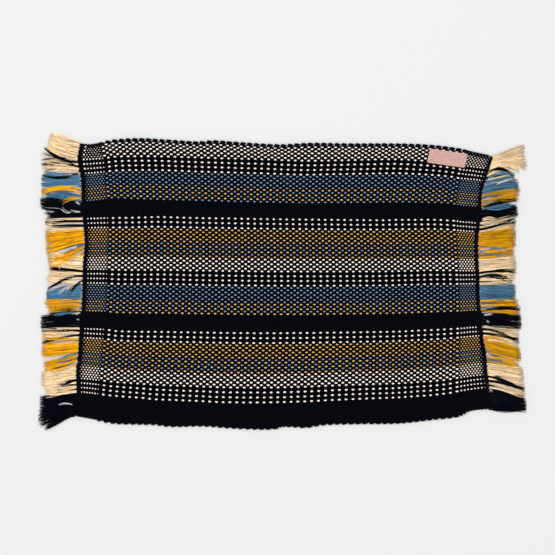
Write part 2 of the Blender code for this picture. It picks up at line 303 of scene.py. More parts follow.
def bottomOf(x):
    return smoothThrough(cloth["bottomEdge"], x)


def edgeOf(side, y):
    # the outer line of the header: side is -1 at the left and 1 at the right
    return smoothThrough(cloth["leftEdge" if side < 0 else "rightEdge"], y, key=1, value=0)


def endHeight(end, x):
    # y of a warp end, which may be a fraction, at x
    known = np.array([0, *cloth["levelEnds"], endCount - 1], float)
    heights = [topOf(x) - smoothThrough(cloth["topDepth"], x)]
    heights += [smoothThrough(cloth["levels"], x, value=i + 1) for i in range(len(known) - 2)]
    heights += [bottomOf(x) + cloth["bottomDepth"]]
    heights = np.array(heights)
    low = np.clip(np.searchsorted(known, end) - 1, 0, len(known) - 2)
    share = (end - known[low]) / (known[low + 1] - known[low])
    share = np.where(low == 0, share * (cloth["crowded"] + (1 - cloth["crowded"]) * share), share)
    lower = np.take_along_axis(heights, low[None], 0)[0]
    upper = np.take_along_axis(heights, low[None] + 1, 0)[0]
    return lower + share * (upper - lower)


def pickPlace(pick, y):
    # x of a pick, which may be a fraction, at y: 0 is where the left header ends
    picks = np.cumsum([0, weave["leftBand"], weave["coarse"], weave["rightBand"]])
    leftWide, rightWide = [smoothThrough(cloth[key], y) for key in ("leftHeader", "rightHeader")]
    marks = np.array([
        edgeOf(-1, y) + leftWide,
        smoothThrough(cloth["coarseStart"], y, key=1, value=0),
        smoothThrough(cloth["coarseStop"], y, key=1, value=0),
        edgeOf(1, y) - rightWide,
    ])
    i = np.clip(np.searchsorted(picks, pick) - 1, 0, 2)
    share = (pick - picks[i]) / (picks[i + 1] - picks[i])
    start = np.take_along_axis(marks, i[None], 0)[0]
    stop = np.take_along_axis(marks, i[None] + 1, 0)[0]
    x = start + np.clip(share, 0, 1) * (stop - start)
    # the right band keeps its pitch, and the picks that find no room crowd under the header
    pitch = np.maximum((marks[3] - marks[2]) / weave["rightBand"], weave["leastPitch"])
    kept = marks[2] + (pick - picks[2]) * pitch
    kept = np.where(kept > marks[3], marks[3] + weave["crowd"] * (kept - marks[3]), kept)
    x = np.where((pick > picks[2]) & (pick <= picks[3]), kept, x)
    lowest = cloth["levels"][0][-1]
    down = np.clip((cloth["strayFrom"] - y) / (cloth["strayFrom"] - lowest), 0, 1)
    x += smoothThrough(cloth["stray"], x) * down
    inHeader = weave["headerPicks"]
    x += np.minimum(pick, 0) * leftWide / inHeader
    return x + np.maximum(pick - picks[-1], 0) * rightWide / inHeader


def crossing(pick, end):
    # x and y where picks and ends cross
    pick, end = np.broadcast_arrays(np.asarray(pick, float), np.asarray(end, float))
    y = cloth["roughTop"] - cloth["roughPitch"] * end
    for _ in range(4):
        x = pickPlace(pick, y)
        y = endHeight(end, x)
    return x, y


pickCount = weave["leftBand"] + weave["coarse"] + weave["rightBand"]


def inBand(pick):
    return (pick < weave["leftBand"]) | (pick >= weave["leftBand"] + weave["coarse"])


def overSide(pick, end):
    # 1 where the warp end lies over the pick, and -1 where it lies under it
    return 1 - 2 * ((pick + end) % 2)


# a closed tube: its points, half widths and half heights in mm, its material's slot, its tint from 0
# to 1, and the rings where its next strip of the bake map starts
Yarn = namedtuple("Yarn", "points wide high slot tint strips", defaults=([0],))
fiveSides = 0.95  # a tube with five sides is this much narrower than its oval


def layYarns(name, yarns, sides, columns, materials):
    # One mesh of closed tubes
    stripCount = sum(len(yarn.strips) for yarn in yarns)
    rows = math.ceil(stripCount / columns)
    inset, capInset = 0.06, 0.03  # of a strip, kept free at its rim and under its caps
    firstAngle = -math.pi / 2 - math.pi / sides
    angles = firstAngle + twoPi * np.arange(sides) / sides
    places, corners, counts, slots, bakeUv, yarnUv, tints = [], [], [], [], [], [], []
    strip, base = 0, 0
    for yarn in yarns:
        points = np.asarray(yarn.points, float)
        count = len(points)
        ahead = np.gradient(points, axis=0)
        ahead /= np.linalg.norm(ahead, axis=1, keepdims=True)
        aside = np.stack([-ahead[:, 1], ahead[:, 0], np.zeros(count)], 1)
        aside /= np.linalg.norm(aside, axis=1, keepdims=True)
        upward = np.cross(ahead, aside)
        wide = np.broadcast_to(yarn.wide, count)[:, None, None] * np.cos(angles)[None, :, None]
        high = np.broadcast_to(yarn.high, count)[:, None, None] * np.sin(angles)[None, :, None]
        ring = points[:, None] + aside[:, None] * wide + upward[:, None] * high
        places.append(ring.reshape(-1, 3) * mm)
        tints.append(np.full(count * sides, yarn.tint))

        i = np.arange(count - 1)[:, None]
        j = np.arange(sides)[None, :]
        after = (j + 1) % sides
        quad = [i * sides + j, i * sides + after, (i + 1) * sides + after, (i + 1) * sides + j]
        corners.append((base + np.stack(quad, -1)).reshape(-1))
        counts.append(np.full((count - 1) * sides, 4))
        corners.append(base + np.arange(sides)[::-1])
        corners.append(base + (count - 1) * sides + np.arange(sides))
        counts.append(np.array([sides, sides]))
        slots.append(np.full((count - 1) * sides + 2, yarn.slot))

        starts = np.array([*yarn.strips, count - 1])
        which = np.searchsorted(starts, np.arange(count - 1), side="right") - 1
        longs = (starts[which + 1] - starts[which]).astype(float)
        localFrom = (np.arange(count - 1) - starts[which]) / longs
        localTo = localFrom + 1 / longs
        cell = strip + which
        left, low = (cell % columns) / columns, (cell // columns) / rows
        uFrom = left + (inset + (1 - 2 * inset) * localFrom) / columns
        uTo = left + (inset + (1 - 2 * inset) * localTo) / columns
        vEdge = inset + (1 - 2 * inset) * np.arange(sides + 1) / sides
        vFrom = low[:, None] + vEdge[None, :-1] / rows
        vTo = low[:, None] + vEdge[None, 1:] / rows
        uFrom, uTo = [np.broadcast_to(u[:, None], vFrom.shape) for u in (uFrom, uTo)]
        flat = np.stack([uFrom, vFrom, uFrom, vTo, uTo, vTo, uTo, vFrom], -1)
        bakeUv.append(flat.reshape(-1, 2))

        length = np.concatenate([[0], np.cumsum(np.linalg.norm(np.diff(points, axis=0), axis=1))])
        sFrom, sTo = [np.broadcast_to(s[:, None], vFrom.shape) for s in (length[:-1], length[1:])]
        aroundFrom = np.broadcast_to(np.arange(sides)[None] / sides, vFrom.shape)
        aroundTo = aroundFrom + 1 / sides
        flat = np.stack([sFrom, aroundFrom, sFrom, aroundTo, sTo, aroundTo, sTo, aroundFrom], -1)
        yarnUv.append(flat.reshape(-1, 2))
        dome = capInset * np.sin(math.pi * np.arange(sides) / (sides - 1)) / columns
        capV = vEdge[:-1]
        firstCap = np.stack([uFrom[0, 0] - dome, low[0] + capV / rows], 1)[::-1]
        lastCap = np.stack([uTo[-1, 0] + dome, low[-1] + capV / rows], 1)
        bakeUv += [firstCap, lastCap]
        capAround = np.arange(sides) / sides
        yarnUv.append(np.stack([np.zeros(sides), capAround[::-1]], 1))
        yarnUv.append(np.stack([np.full(sides, length[-1]), capAround], 1))
        strip += len(yarn.strips)
        base += count * sides

    places, corners, counts = [np.concatenate(x) for x in (places, corners, counts)]
    slots, tints = np.concatenate(slots), np.concatenate(tints)
    mesh = bpy.data.meshes.new(name)
    mesh.vertices.add(len(places))
    mesh.vertices.foreach_set("co", places.astype(np.float32).ravel())
    mesh.loops.add(len(corners))
    mesh.loops.foreach_set("vertex_index", corners.astype(np.int32))
    mesh.polygons.add(len(counts))
    firsts = np.concatenate([[0], np.cumsum(counts)[:-1]])
    mesh.polygons.foreach_set("loop_start", firsts.astype(np.int32))
    mesh.update(calc_edges=True)
    for material in materials:
        mesh.materials.append(material)
    mesh.polygons.foreach_set("material_index", slots.astype(np.int32))
    mesh.polygons.foreach_set("use_smooth", counts == 4)
    for mapName, uv in (("OFBake", bakeUv), ("yarn", yarnUv)):
        layer = mesh.uv_layers.new(name=mapName)
        layer.uv.foreach_set("vector", np.concatenate(uv).astype(np.float32).ravel())
    mesh.attributes.new("tint", "FLOAT", "POINT").data.foreach_set("value", tints.astype(np.float32))
    mesh.update()
    piece = bpy.data.objects.new(name, mesh)
    bpy.context.scene.collection.objects.link(piece)
    print(f"{name}: {int((counts - 2).sum())} triangles")
    return piece


def settle(piece, node):
    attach(piece, "root")
    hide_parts(node)
    return piece


# The warp

random = np.random.default_rng(11)


def warpEnd(end):
    # One warp yarn from header to header, over and under each pick
    picks = np.arange(pickCount)
    coarse, band = picks[~inBand(picks)], picks[inBand(picks)]
    seam = (band == weave["leftBand"] - 1) | (band == weave["leftBand"] + weave["coarse"])
    low = np.where(seam, weave["seamShare"], 1.0)
    for i, share in enumerate(weave["headerShares"]):
        low = np.where((band == i) | (band == pickCount - 1 - i), share, low)
    first, deep = weave["firstDots"], weave["deepEnds"]
    if end == 1:
        low = low * weave["coveredShare"]
    elif end < deep["ends"]:
        low = low * np.where(band < weave["leftBand"], deep["left"], deep["right"])
    if end < first["ends"]:
        low = np.where(band == first["pick"], first["share"], low)
    # sets of rings: where they lie, by which pick, how high, how wide, and whether they are pressed flat
    steps = [
        (coarse + 0.5 + shift, coarse, lift, wide, False) for shift, lift, wide in weave["warpRings"]
    ]
    steps += [(band + 0.5 + shift, band, low, low, True) for shift in weave["bandWarpRings"]]
    header = np.array(weave["headerRings"])
    steps += [(ring, ring, 0.0, weave["headerShare"], True) for ring in (header, pickCount - header)]
    place = np.concatenate([s[0] for s in steps])
    over = np.concatenate([overSide(s[1], end) * s[2] for s in steps])
    share = np.concatenate([np.broadcast_to(s[3], len(s[0])) for s in steps])
    thin = np.concatenate([np.full(len(s[0]), s[4]) for s in steps])
    order = np.argsort(place)
    place, over, share, thin = place[order], over[order], share[order], thin[order]
    share = share * (1 + weave["uneven"] * random.uniform(-1, 1, len(place)))
    x, y = crossing(place, end)
    room = crossing(place, end - 0.5)[1] - crossing(place, end + 0.5)[1]
    thick = yarnDyes[warp[end]]["thick"]
    sink, jitter = weave["sink"], weave["warpJitter"]
    free = edgeOf(1, y) - smoothThrough(cloth["rightHeader"], y) - x
    free = np.where(x > 0, np.clip(free / sink["over"] + sink["from"], sink["least"], 1.0), 1.0)
    over, share = over * free, share * free
    rise, wide, high = [
        np.where(thin, weave["bandWarp"][key], weave["warp"][key]) for key in ("rise", "wide", "high")
    ]
    wide, high = wide * room * thick, high * thick
    z = weave["middleHigh"] + rise * over * (1 + jitter["up"] * random.uniform(-1, 1, len(place)))
    y = y + jitter["aside"] * room * random.uniform(-1, 1, len(place))
    if end in (0, endCount - 1):
        wide, high, z = [np.full(len(place), weave["edgeEnd"][key]) for key in ("wide", "high", "low")]
    points = np.stack([x, y, z], 1)
    wide = 0.5 * wide * share / fiveSides
    return Yarn(points, wide, 0.5 * high, colourNames.index(warp[end]), random.uniform())


for name, ends in (
    ("warp_upper", range(0, 40)),
    ("warp_middle", range(40, 80)),
    ("warp_lower", range(80, endCount)),
):
    piece = layYarns(name, [warpEnd(end) for end in ends], 5, 1, warpYarns)
    settle(piece, "mat_cloth")


# The weft

# the rings of a turn: how far aside in shares of its reach, how far out to its apex, how far it
# leans over to the right in shares of the yarn's half width, and how wide it is there
TurnRing = namedtuple("TurnRing", "aside out lean wide")
turnRings = [
    TurnRing(-0.80, 0.45, -0.35, 1.0),
    TurnRing(-0.78, 1.0, 0.30, 1.3),
    TurnRing(0.0, 1.0, 0.40, 1.0),
    TurnRing(0.78, 1.0, 0.40, 1.3),
    TurnRing(0.80, 0.45, -0.35, 1.0),
]


def crossEnds(pick, ends, step):
    # x and y of a pick on both sides of each end, and 1 where it lies over the end, -1 where under
    x, y = crossing(pick + 0.5, (ends[:, None] + np.array([step, -step])).ravel())
    return x, y, -np.repeat(overSide(pick, ends), 2)


def weftPick(pick):
    # The rings of one pick: the odd ones run up and the even ones down
    x, y, over = crossEnds(pick, np.arange(1, endCount - 1)[::-1], weave["weftRing"])
    facts, wander = weave["bandWeft" if inBand(pick) else "weft"], weave["wander"]
    aside = wander["aside"] * (wander["bandShare"] if inBand(pick) else 1.0)
    phases = random.uniform(0, twoPi, 2)
    long, short = [np.sin(y / wander[key] + phase) for key, phase in zip(("long", "short"), phases)]
    x = x + aside * (long + wander["shortShare"] * short)
    z = weave["middleHigh"] + facts["rise"] * over
    wide = 0.5 * facts["wide"] * (1 + facts["swell"] * over)
    wide = wide * (1 + 0.5 * weave["uneven"] * random.uniform(-1, 1, len(x)))
    high = np.full(len(x), 0.5 * facts["high"])
    rings = np.stack([x, y, z, wide, high], 1)
    return rings if pick % 2 == 1 else rings[::-1]


def weftTurn(leaving, coming, atTop):
    # The half turn from one pick to the next round the outermost end
    turn = weave["turn"]
    middle = (leaving[0] + coming[0]) / 2
    reach = (coming[0] - leaving[0]) / 2
    tight = min(0.5 * turn["wide"], turn["room"] * reach)
    apex = topOf(middle) - tight if atTop else bottomOf(middle) + tight
    start = (leaving[1] + coming[1]) / 2
    rings = []
    for ring in turnRings:
        rings.append([
            middle + reach * ring.aside + tight * ring.lean,
            start + (apex - start) * ring.out,
            weave["middleHigh"] + turn["lift"] - (leaving[2] - weave["middleHigh"]) * ring.aside,
            tight * ring.wide,
            leaving[4] + turn["thicker"] * ring.out,
        ])
    return np.array(rings)


def weftTail(ring, atTop):
    # the end of a yarn, which is tucked in at the edge
    edge = topOf(ring[0]) - weave["tucked"] if atTop else bottomOf(ring[0]) + weave["tucked"]
    return np.array([[ring[0], edge, weave["middleHigh"], 0.9 * ring[3], ring[4]]])


def weftRun(picks):
    # One yarn that runs up and down the cloth
    rows, strips = [], [0]
    for pick in picks:
        rings = weftPick(pick)
        if not rows:
            rows.append(weftTail(rings[0], atTop=pick % 2 == 0))
        else:
            rows.append(weftTurn(rows[-1][-1], rings[0], atTop=pick % 2 == 0))
            strips.append(sum(len(row) for row in rows) - 2)
        rows.append(rings)
    rows.append(weftTail(rings[-1], atTop=picks[-1] % 2 == 1))
    rings = np.concatenate(rows)
    return Yarn(rings[:, :3], rings[:, 3] / fiveSides, rings[:, 4], 0, 0.5, strips)


half = pickCount // 2
for name, picks in (("weft_left", range(half)), ("weft_right", range(half, pickCount))):
    piece = layYarns(name, [weftRun(picks)], 5, 1, [weftYarn])
    settle(piece, "mat_cloth")


# The headers: picks beaten so close that they hide the warp

headerYarn = {"wide": 2.05, "high": 1.05, "rise": 0.62, "ring": 0.28, "tucked": 0.6, "tipShare": 0.6}


def headerPick(pick):
    facts, middle = headerYarn, weave["middleHigh"]
    x, y, over = crossEnds(pick, np.arange(endCount)[::-1], facts["ring"])
    points = np.vstack([
        [x[0], bottomOf(x[0]) + facts["tucked"], middle],
        np.stack([x, y, middle + facts["rise"] * over], 1),
        [x[-1], topOf(x[-1]) - facts["tucked"], middle],
    ])
    wide = np.full(len(points), 0.5 * facts["wide"])
    wide *= 1 + weave["uneven"] * random.uniform(-1, 1, len(points))
    high = np.full(len(points), 0.5 * facts["high"])
    wide[[0, -1]] *= facts["tipShare"]
    high[[0, -1]] *= facts["tipShare"]
    return Yarn(points, wide / fiveSides, high, 0, random.uniform(0.3, 0.7))


for name, node, first in (
    ("header_left", "fringe_left", -weave["headerPicks"]),
    ("header_right", "fringe_right", pickCount),
):
    picks = range(first, first + weave["headerPicks"])
    piece = layYarns(name, [headerPick(pick) for pick in picks], 5, 1, [weftYarn])
    settle(piece, node)


# The fringe: every warp end opens into its fine threads

Lock = namedtuple("Lock", "last firstOut firstY lastOut lastY")
Sweep = namedtuple("Sweep", "ends y bow lift splay out square", defaults=(0, 0, 1, None, 0.6))
Stray = namedtuple("Stray", "colour startX startY tipX tipY bow high threads")
Shade = namedtuple("Shade", "vary left right")
# how much a colour's threads differ, and how much brighter they are painted in the left and right
# fringe: partly a colour's own tone, and where the sides differ, painted light, as the lamp stands to the
# left
shades = {
    "cream": Shade(1.0, 0.16, -0.02),
    "navy": Shade(1.0, 0.0, 0.0),
    "blue": Shade(1.9, 0.22, -0.28),
    "mustard": Shade(1.4, 0.22, -0.18),
}
fringe = {
    "plies": 3,  # in each end
    "threads": 5,  # in each ply
    "thick": 0.64,
    "thickVaries": 0.22,
    # the matted fibres that fill an end, which stop this far short of its tip; their tint is painted
    # shade, as they lie under the threads
    "core": {"share": 1.02, "high": 0.9, "short": 2.5, "widest": 5.4, "tint": -0.3, "start": 1.6},
    "rootShare": 0.72,  # of the room that the end has
    "rootsIn": (1.2, 2.4),  # how far inside the header's outer line the threads start
    "headerOut": 4.5,  # picks from the header's start to that line, more or less
    "rim": {"out": 1.7, "ends": 5},  # at the mat's corners the roots fan out over the header's ends
    # an end that lies under its neighbours is this much narrower at its root, and they close over it
    "buried": {"room": 0.3, "beside": 0.4},
    "tipShare": 1.05,
    "tipRoom": (1.8, 5.2),  # least and most
    "tipVaries": 0.22,
    "ragged": 1.5,  # how far the cut ends differ
    "plyRagged": 0.6,
    "outMore": 0.9,  # the longest threads reach this far past the lock's line
    "wave": 0.45,
    "curl": 2.6,
    "plyWave": 0.7,
    "rootHigh": 1.5,
    "rootVaries": 0.45,
    "lowest": 0.45,
    "pile": 1.7,  # how high the threads of an end lie over each other
    "ripple": 0.12,
    "layer": 0.35,  # so that neighbours don't lie in each other
    # each lock from the top: its last end, and where its first and last tips lie
    "leftLocks": [Lock(*row) for row in (
        (7, 270.2, 171.6, 274.2, 153.4), (13, 280.8, 150.1, 279.4, 128.3), (19, 280.4, 123.8, 280.4, 110.7),
        (22, 280, 107.2, 279.3, 102.3), (25, 276.6, 100, 274.2, 96.1), (29, 281.8, 93.5, 281.6, 86.7),
        (32, 280, 83, 273.8, 76.5), (37, 276.3, 72.3, 276.3, 58.4), (43, 276, 54.3, 275.3, 39.2),
        (49, 274.2, 36.2, 272.4, 27.8), (55, 271.3, 25.7, 270.1, 16.6), (61, 271.4, 13.8, 275.3, -2.3),
        (67, 274.4, -6.2, 274.4, -18.8), (73, 277.7, -22.8, 273.6, -35.4), (80, 280.6, -39.1, 281.2, -52.8),
        (85, 280, -55.4, 280, -65.2), (91, 279.8, -68.7, 280, -86.6), (97, 278.3, -90.1, 277.1, -103.6),
        (103, 280.4, -106.9, 280.4, -121.1), (109, 278.8, -124.1, 275.3, -133.7),
        (114, 279.4, -136.7, 282.9, -147.7), (119, 284, -153, 273, -171.6),
    )],
    "rightLocks": [Lock(*row) for row in (
        (7, 281.3, 158.3, 273.9, 128.9), (13, 268.1, 126.1, 270.5, 117.7), (19, 273.1, 115.9, 275.5, 107.7),
        (25, 276.3, 105.1, 274.5, 94.2), (32, 272.9, 91.4, 274.1, 79.5), (37, 272.2, 76.9, 270.8, 66.9),
        (43, 271.5, 63.7, 272, 50.2), (49, 270.3, 46.7, 269.6, 32.7), (55, 271, 29.2, 272.2, 16.4),
        (61, 272.2, 13.1, 268.5, -0.4), (67, 271.5, -4.4, 271.3, -18.1), (73, 274.1, -20.7, 276.2, -34.9),
        (80, 276.9, -38.2, 278.5, -51.7), (85, 275.9, -54, 274.8, -65.2), (91, 275.5, -68.4, 278, -85.5),
        (97, 277.3, -87.8, 273.4, -98.5), (103, 279.2, -101.3, 281.5, -115),
        (109, 281.8, -117.4, 282.7, -132.8), (115, 281.8, -135.8, 284, -144.8),
        (119, 283.6, -146.6, 277.6, -151.6),
    )],
    # ends that lie across their neighbours: y of their tips, of the first and last where there are more,
    # how far they bow up or down on the way, how high they are lifted over the others, how wide they
    # open, how far out they reach, and how square to the header they leave it
    "leftSweeps": [Sweep(*row) for row in (
        ((0, 1, 2), (171.6, 166.8), 0.3, 0.2, 1.1, None, 0),
        ((3, 4), (164.6, 162.2), -0.4, 0.2, 1.3, None, 0), (5, 160, -1.3, 0.2, 1.6, None, 0),
        (6, 157.8, -2.2, 0.2, 1.8, None, 0), (7, 155.8, -3.2, 0.2, 1.8, None, 0),
        (8, 155.4, -3.4, 1, 0.3, 277, 0.4), (9, 143.5, -1, 0.3, 2.6), (10, 136.3, 1.5, 0.3, 0.5),
        (11, 133.5, 1, 0.5, 2), (12, 123.9, -5.2, 1.3, 0.4), (13, 128.5, 2.4, 0.5, 2.4, 277),
        ((14, 15), (127.5, 124.8), 0, 0.2, 1.1, 277), (range(16, 20), (120.5, 112.3)),
        (20, 104.8, 3.8, 1.3, 0.7, 281), (22, 102.4, 6, 1.1, 0.9, 280), (24, 92.6, 1.5, 1.5, 0.9, 257),
        ((21, 23, 25), (106, 98), 1.2, 0, 1.6), (range(26, 31), (96.6, 87), 0, 0, 1.1),
        ((31, 32), (81, 76.5), 0, 0, 1.3), (33, 72.3, 0.5, 0.5, 0.8), (34, 69.2, 0, 0.7, 0.5),
        (35, 66.8, 0.3, 0.3, 0.9, 276), (36, 65.9, 0, 0.6, 0.4, 268), (37, 59.5, 0, 0.4, 1.5),
        (range(38, 44), (56, 34), 0, 0.2, 1.4), ((44, 46, 48), (36, 30), 0, -0.6, 0.3, 250),
        (45, 27.5, -3, 1.2, 1.8), (47, 24, -2, 1.4, 1.8), (49, 20.5, -0.5, 1, 1.5),
        (range(50, 56), (31, 17.5), 0, 0, 1.2), (56, 15, 1, 1, 1.3), ((57, 59, 61), (11, 1), 0, 0.1, 1.5),
        (58, -8, 2.6, 1, 0.6), (60, -14.6, 0.5, 1.6, 1.5, 252), (range(62, 68), (-12, -19.5), 0, 0, 1.2),
        ((68, 70), (-24, -28), 0, -0.4, 0.5, 262), (69, -23, 0.5, 0.5, 1.5), (71, -27, 0.8, 0.8, 1.5),
        (73, -32.5, 1.5, 1.2, 1.3), (72, -37, -3, 0.4, 1.1, 270), (74, -38, 4.5, 1.3, 0.5, 271),
        ((81, 83, 85), (-54, -62), 0, 0, 1.4), (82, -57, 0.5, 0.7, 0.5), (84, -70, 0.5, 1, 0.4),
        (86, -64.5, 0, 0.8, 1.3), (range(87, 92), (-74.5, -86), 0, 0.2, 1.3),
        ((92, 94), (-90, -95), 0, -0.4, 0.5, 262), (96, -101.5, -0.5, 0.5, 0.8, 272),
        (93, -95.5, -1, 0.9, 1.6), (95, -99, -1.5, 1, 1.6), (97, -104, -1, 1.1, 1.3),
        (104, -121.5, 0.5, 0.9, 0.5, 256), ((106, 108), (-119, -127), 0, -0.5, 0.6, 262),
        ((105, 107, 109), (-121, -132), 0, 0.3, 1.5), (range(110, 115), (-136, -149), 0, 0, 1.3, 282),
        ((115, 116, 117), (-153, -162), 0.5, 0.2, 1.5, 284), (118, -166.5, 0.9, 0.2, 1.7, 282),
        (119, -170.5, 0.9, 0.2, 1.4, 276),
    )],
    "rightSweeps": [Sweep(*row) for row in (
        (range(0, 4), (158.3, 147), 0, 0.2, 1.2, 281.5, 0.3), (4, 142.5, 1, 0.2, 1.2, 283),
        (5, 137.5, 2, 0.2, 1.2, 284.5), (6, 132.5, 3.5, 0.2, 1.2, 283.5), (7, 128.3, 5, 0.3, 1.1, 276),
        (8, 128, 1, -0.5, 0.3, 250), (9, 124.6, 7.3, 0.4, 1, 269), (10, 123, 7.6, 1.7, 0.4, 268.5),
        (11, 128, 2.5, 0.9, 1, 258), (12, 121.5, 2, 0.6, 0.4, 264), (13, 122.5, 1.5, 1, 0.8, 266),
        (14, 124, 6.5, 0.7, 1, 270.5), (15, 118.5, 4, 0.6, 1.3, 270.5),
        (range(16, 20), (115.8, 108), 1.5, 0, 1.2), (20, 106.5, 0.8, 0.9, 1.5),
        (21, 101.9, 0.5, 0.9, 0.8, 262), (22, 101.8, -0.5, 0.7, 1.3), (24, 96.9, 0, 0.8, 1.3),
        (23, 92.5, -1.5, -0.2, 0.8, 262), (25, 90, -3.2, 1, 1.3, 267), (26, 95, 2.6, 1.2, 1),
        (range(27, 33), (88, 77.5), 0, 0, 1.1), (33, 77.2, 1, 0.6, 0.9), (35, 70.5, 0.5, 0.7, 0.7, 262),
        (34, 72.6, -2, 0.9, 0.7), (36, 68.5, 0.5, 0.4, 0.6), (37, 65, 1, 0.5, 1.3),
        (range(38, 44), (61.5, 43), 0.5, 0.2, 1.3), ((45, 47, 49), (41, 32), 0, 0.4, 1.4),
        ((44, 48), (37, 30), 0, -0.4, 0.6, 262), (46, 30.5, -1.5, 0.9, 0.8, 265),
        (range(50, 56), (27.5, 15.5)), (56, 11.8, 1.4, 0.7, 0.55), ((57, 59, 61), (8, -1), 0, 0.1, 1.5),
        (58, 0.2, 4, 1.6, 1.2, 267.5), (60, -3.5, 0, -0.5, 0.4, 255),
        (range(62, 68), (-5.5, -20), 0, 0.1, 1.1), ((68, 72), (-22, -31.5), 0, -0.4, 0.5, 258),
        (70, -27, 0, 0.6, 0.7, 252), (69, -24, 0.3, 0.5, 1.5), (71, -28.5, 0.8, 0.6, 1.3),
        (73, -35.6, -1, 1, 1), (74, -31.4, 2.2, 1.5, 0.55), (range(75, 81), (-40.5, -53)),
        ((81, 83, 85), (-57, -72), 0.5, 0, 1.5), (82, -69.5, 2, 1.1, 0.5), (84, -66, 0.5, 0.4, 0.4),
        (86, -69, 1.5, 0.5, 1.1, 262), (range(87, 92), (-78, -90), 0.5, 0.2, 1.2),
        ((92, 94), (-90, -94), 0, -0.4, 0.5, 256), (96, -96.5, 0.8, 1.1, 1, 259),
        ((93, 95, 97), (-92, -102), 1.5, 0.9, 1.3), (104, -127, 1, 1.1, 0.5), (106, -124.5, 0.5, 0.9, 0.5),
        (108, -131, 0.5, -0.5, 0.4, 262), (105, -119.5, 0, 0.2, 1.4),
        ((107, 109), (-129, -132.8), 0, 0.2, 1.5), (range(115, 120), (-144, -149), -1.5, 0, 1.2, 283.5),
    )],
    # loose yarns that have strayed across the others: from where to where, how far they bow up, and
    # how high they lie
    "strays": [Stray(*row) for row in (
        ("navy", -254, 144.3, -281.2, 150.2, -1.5, 3, 3), ("navy", -250, 143.8, -280.8, 141.6, 1, 3, 3),
        ("navy", -238.3, 134.8, -252.5, 139.2, 0.8, 3.3, 3),
        ("navy", -265.9, 134.8, -280.5, 136.6, 0.5, 3.2, 2),
        ("navy", -261, 131.3, -277.5, 130, -0.6, 3.2, 2),
        ("cream", -247.1, 134.8, -267.7, 133.1, 2.6, 3.6, 2),
        ("pale", -240.9, 127.4, -271.3, 127.3, -0.5, 2.9, 4), ("pale", -243, 124.8, -268, 124, -0.5, 2.9, 3),
        ("pale", -234.7, 111, -252.5, 111.2, 0.3, 3.2, 2), ("pale", -234.7, 89.9, -241.8, 92.5, 0.3, 3.3, 4),
        ("pale", -234, 81.3, -247, 82.5, -0.5, 3.4, 4), ("pale", -245, 80.2, -258.5, 85.2, -1.5, 3.4, 4),
        ("pale", -257, 84.6, -280.9, 85.9, 0.5, 3.3, 1), ("pale", -264, 81, -280, 80.2, 0.8, 3.2, 2),
        ("navy", -232.9, 65.8, -274.7, 63.5, -1, 3.2, 2), ("pale", -238.3, 40.1, -258.8, 33.4, 0.5, 3.5, 5),
        ("pale", -232.9, 34.3, -254.3, 20.1, -0.5, 3, 7), ("cream", -257, 13.8, -269.4, 24.5, 1.5, 3.7, 1),
        ("cream", -237, -1.3, -251.6, -12.1, 1.5, 3.7, 3), ("pale", -250.7, -2.2, -273.9, -11.1, 0, 3.2, 7),
        ("pale", -246, -6, -263, -14, 0.5, 3.3, 6), ("pale", -234.7, -35.7, -242.5, -38, 0, 3.4, 4),
        ("pale", -235.6, -44.1, -242.8, -43.7, 0, 3.4, 3),
        ("navy", -261.4, -54.8, -280.1, -53.9, 0.3, 3.2, 3),
        ("pale", -239.1, -70, -270.3, -73.5, 0.3, 2.2, 4),
        ("navy", -252.5, -97.9, -274.7, -104.1, 0, 3.6, 1), ("pale", -237, -93, -250, -99, 0, 3.2, 3),
        ("pale", -243.6, -142.9, -261.4, -143.3, 1.5, 3.2, 3),
        ("navy", -253, -155.3, -278, -170.8, 0, 1.6, 6), ("pale", 247.8, 113.8, 270.1, 119.5, 0.5, 3.3, 5),
        ("pale", 233.5, 95.5, 243.3, 97.7, 0, 3.4, 3), ("cream", 232, 71.5, 250, 72.5, 1.5, 3.4, 8),
        ("pale", 229.9, 37.1, 243.3, 38.4, 0, 3.4, 3), ("pale", 233.5, -38.9, 245.1, -37.1, 0, 3.4, 4),
        ("pale", 237.5, -47.4, 242, -45.6, 0, 3.4, 3), ("pale", 234.5, -51.4, 240.6, -52.3, 0, 3.4, 3),
        ("cream", 237.1, -67.5, 275.3, -75.9, 1.5, 3.3, 5), ("pale", 236.2, -83.9, 243.3, -87.5, 0, 3.4, 4),
        ("navy", 244.7, -112.1, 255.8, -112.1, 1.8, 3.5, 4),
        ("navy", 241.1, -117.5, 245.5, -115.7, 0.3, 3.5, 4),
        ("pale", 240.2, -124.6, 245.1, -128.2, 0, 3.5, 3), ("navy", 240.5, -135.8, 280, -142, -0.3, 1.6, 5),
    )],
}


def fringePlan(side):
    # how each end lies
    plan = []
    hand = "left" if side < 0 else "right"
    for lock in fringe[hand + "Locks"]:
        count = lock.last + 1 - len(plan)
        for i in range(count):
            share = i / (count - 1)
            out = lock.firstOut + share * (lock.lastOut - lock.firstOut)
            y = lock.firstY + share * (lock.lastY - lock.firstY)
            plan.append({**Sweep._field_defaults, "out": out, "y": y})
    for sweep in fringe[hand + "Sweeps"]:
        ends, y = np.atleast_1d(sweep.ends), np.atleast_1d(sweep.y)
        for i, end in enumerate(ends):
            tipY = y[0] + (y[-1] - y[0]) * i / max(len(ends) - 1, 1)
            plan[end].update(sweep._asdict(), y=tipY, out=sweep.out or plan[end]["out"])
    return plan


threadSteps = np.array([0.0, 0.10, 0.24, 0.42, 0.62, 0.82, 1.0])
